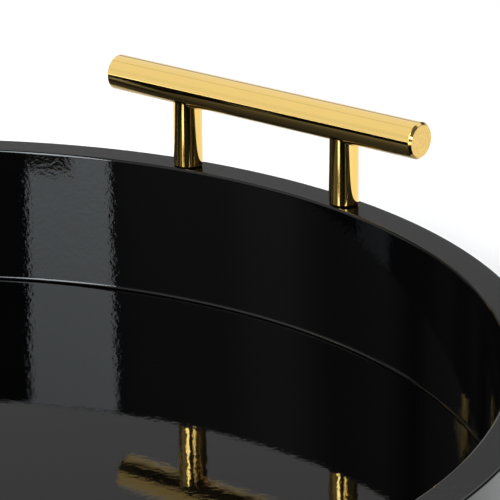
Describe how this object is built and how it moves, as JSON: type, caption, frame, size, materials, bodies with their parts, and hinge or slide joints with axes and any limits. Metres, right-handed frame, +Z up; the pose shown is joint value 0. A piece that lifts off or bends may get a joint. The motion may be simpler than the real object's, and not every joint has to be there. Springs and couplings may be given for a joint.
{
  "type": "serving tray",
  "caption": "Round black gloss-lacquered serving tray with a straight wall and polished gold bar handles standing on posts on its rim.",
  "frame": {"origin": "on the table, under the centre of the tray", "axes": "+Z up out of the tray; the two handles stand at +Y (back) and -Y (front) with their bars along X"},
  "size_m": [0.394, 0.394, 0.0864],
  "materials": {
    "hoop_lacquer": "high-gloss black lacquer over fibreboard",
    "board_lacquer": "high-gloss black lacquer over fibreboard, satin underneath",
    "polished_gold": "mirror polished",
    "zinc_steel": "bright zinc plated",
    "black_felt": "pressed felt"
  },
  "bodies": {
    "root": {"rim_hoop": "hoop_lacquer", "base_board": "board_lacquer", "back_handle_bar": "polished_gold", "back_post_left": "polished_gold", "back_stud_left": "zinc_steel", "back_screw_left": "zinc_steel", "back_post_right": "polished_gold", "back_stud_right": "zinc_steel", "back_screw_right": "zinc_steel", "front_handle_bar": "polished_gold", "front_post_left": "polished_gold", "front_stud_left": "zinc_steel", "front_screw_left": "zinc_steel", "front_post_right": "polished_gold", "front_stud_right": "zinc_steel", "front_screw_right": "zinc_steel", "felt_pad_1": "black_felt", "felt_pad_2": "black_felt", "felt_pad_3": "black_felt", "felt_pad_4": "black_felt"}
  },
  "joints": []
}
